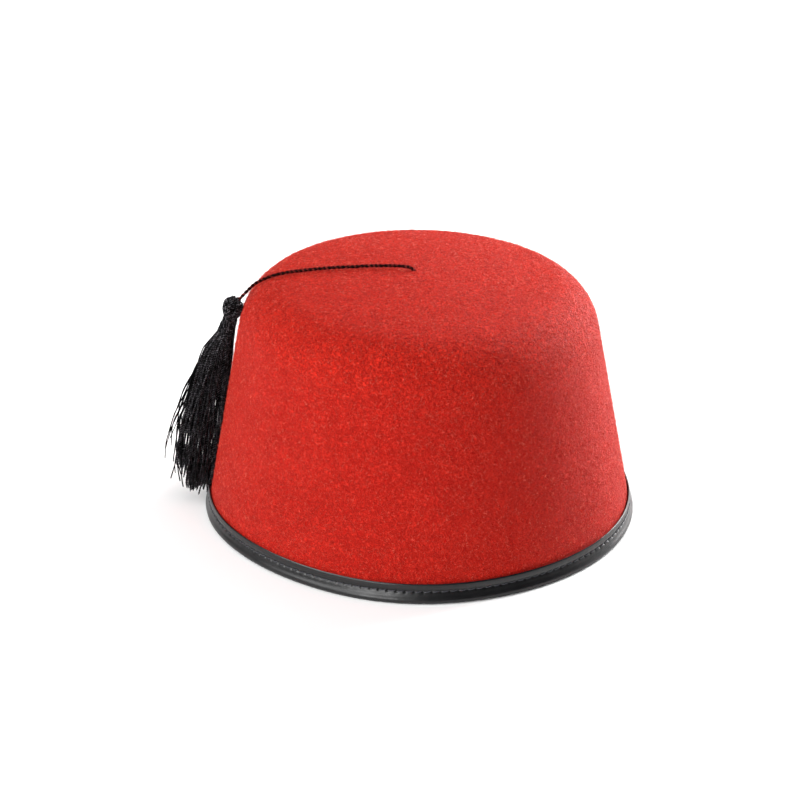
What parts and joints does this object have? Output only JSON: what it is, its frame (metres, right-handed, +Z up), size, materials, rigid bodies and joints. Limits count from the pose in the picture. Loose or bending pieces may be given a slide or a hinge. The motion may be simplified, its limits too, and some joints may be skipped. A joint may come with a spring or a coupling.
{
  "type": "fez hat",
  "caption": "Stiff red felt fez with a flared wall, a slightly domed top, a black stitched edge binding and a black tassel on a twisted cord.",
  "frame": {"origin": "The middle of the hat's footprint, on the surface that it stands on, measured without the hanging cord and tassel.", "axes": "+Z is up, from the rim to the crown. -Y is the front. The tassel hangs on the side towards -X."},
  "size_m": [0.2127, 0.2024, 0.116],
  "materials": {
    "felt": "stiffened pressed wool felt, matt with a short nap",
    "binding": "smooth black leathercloth, satin",
    "yarn": "twisted rayon yarn, soft sheen"
  },
  "bodies": {
    "root": {"crown_felt": "felt", "edge_binding": "binding", "tassel_cord": "yarn", "cord_knot": "yarn", "tassel_head": "yarn", "tassel_skirt": "yarn"}
  },
  "joints": []
}
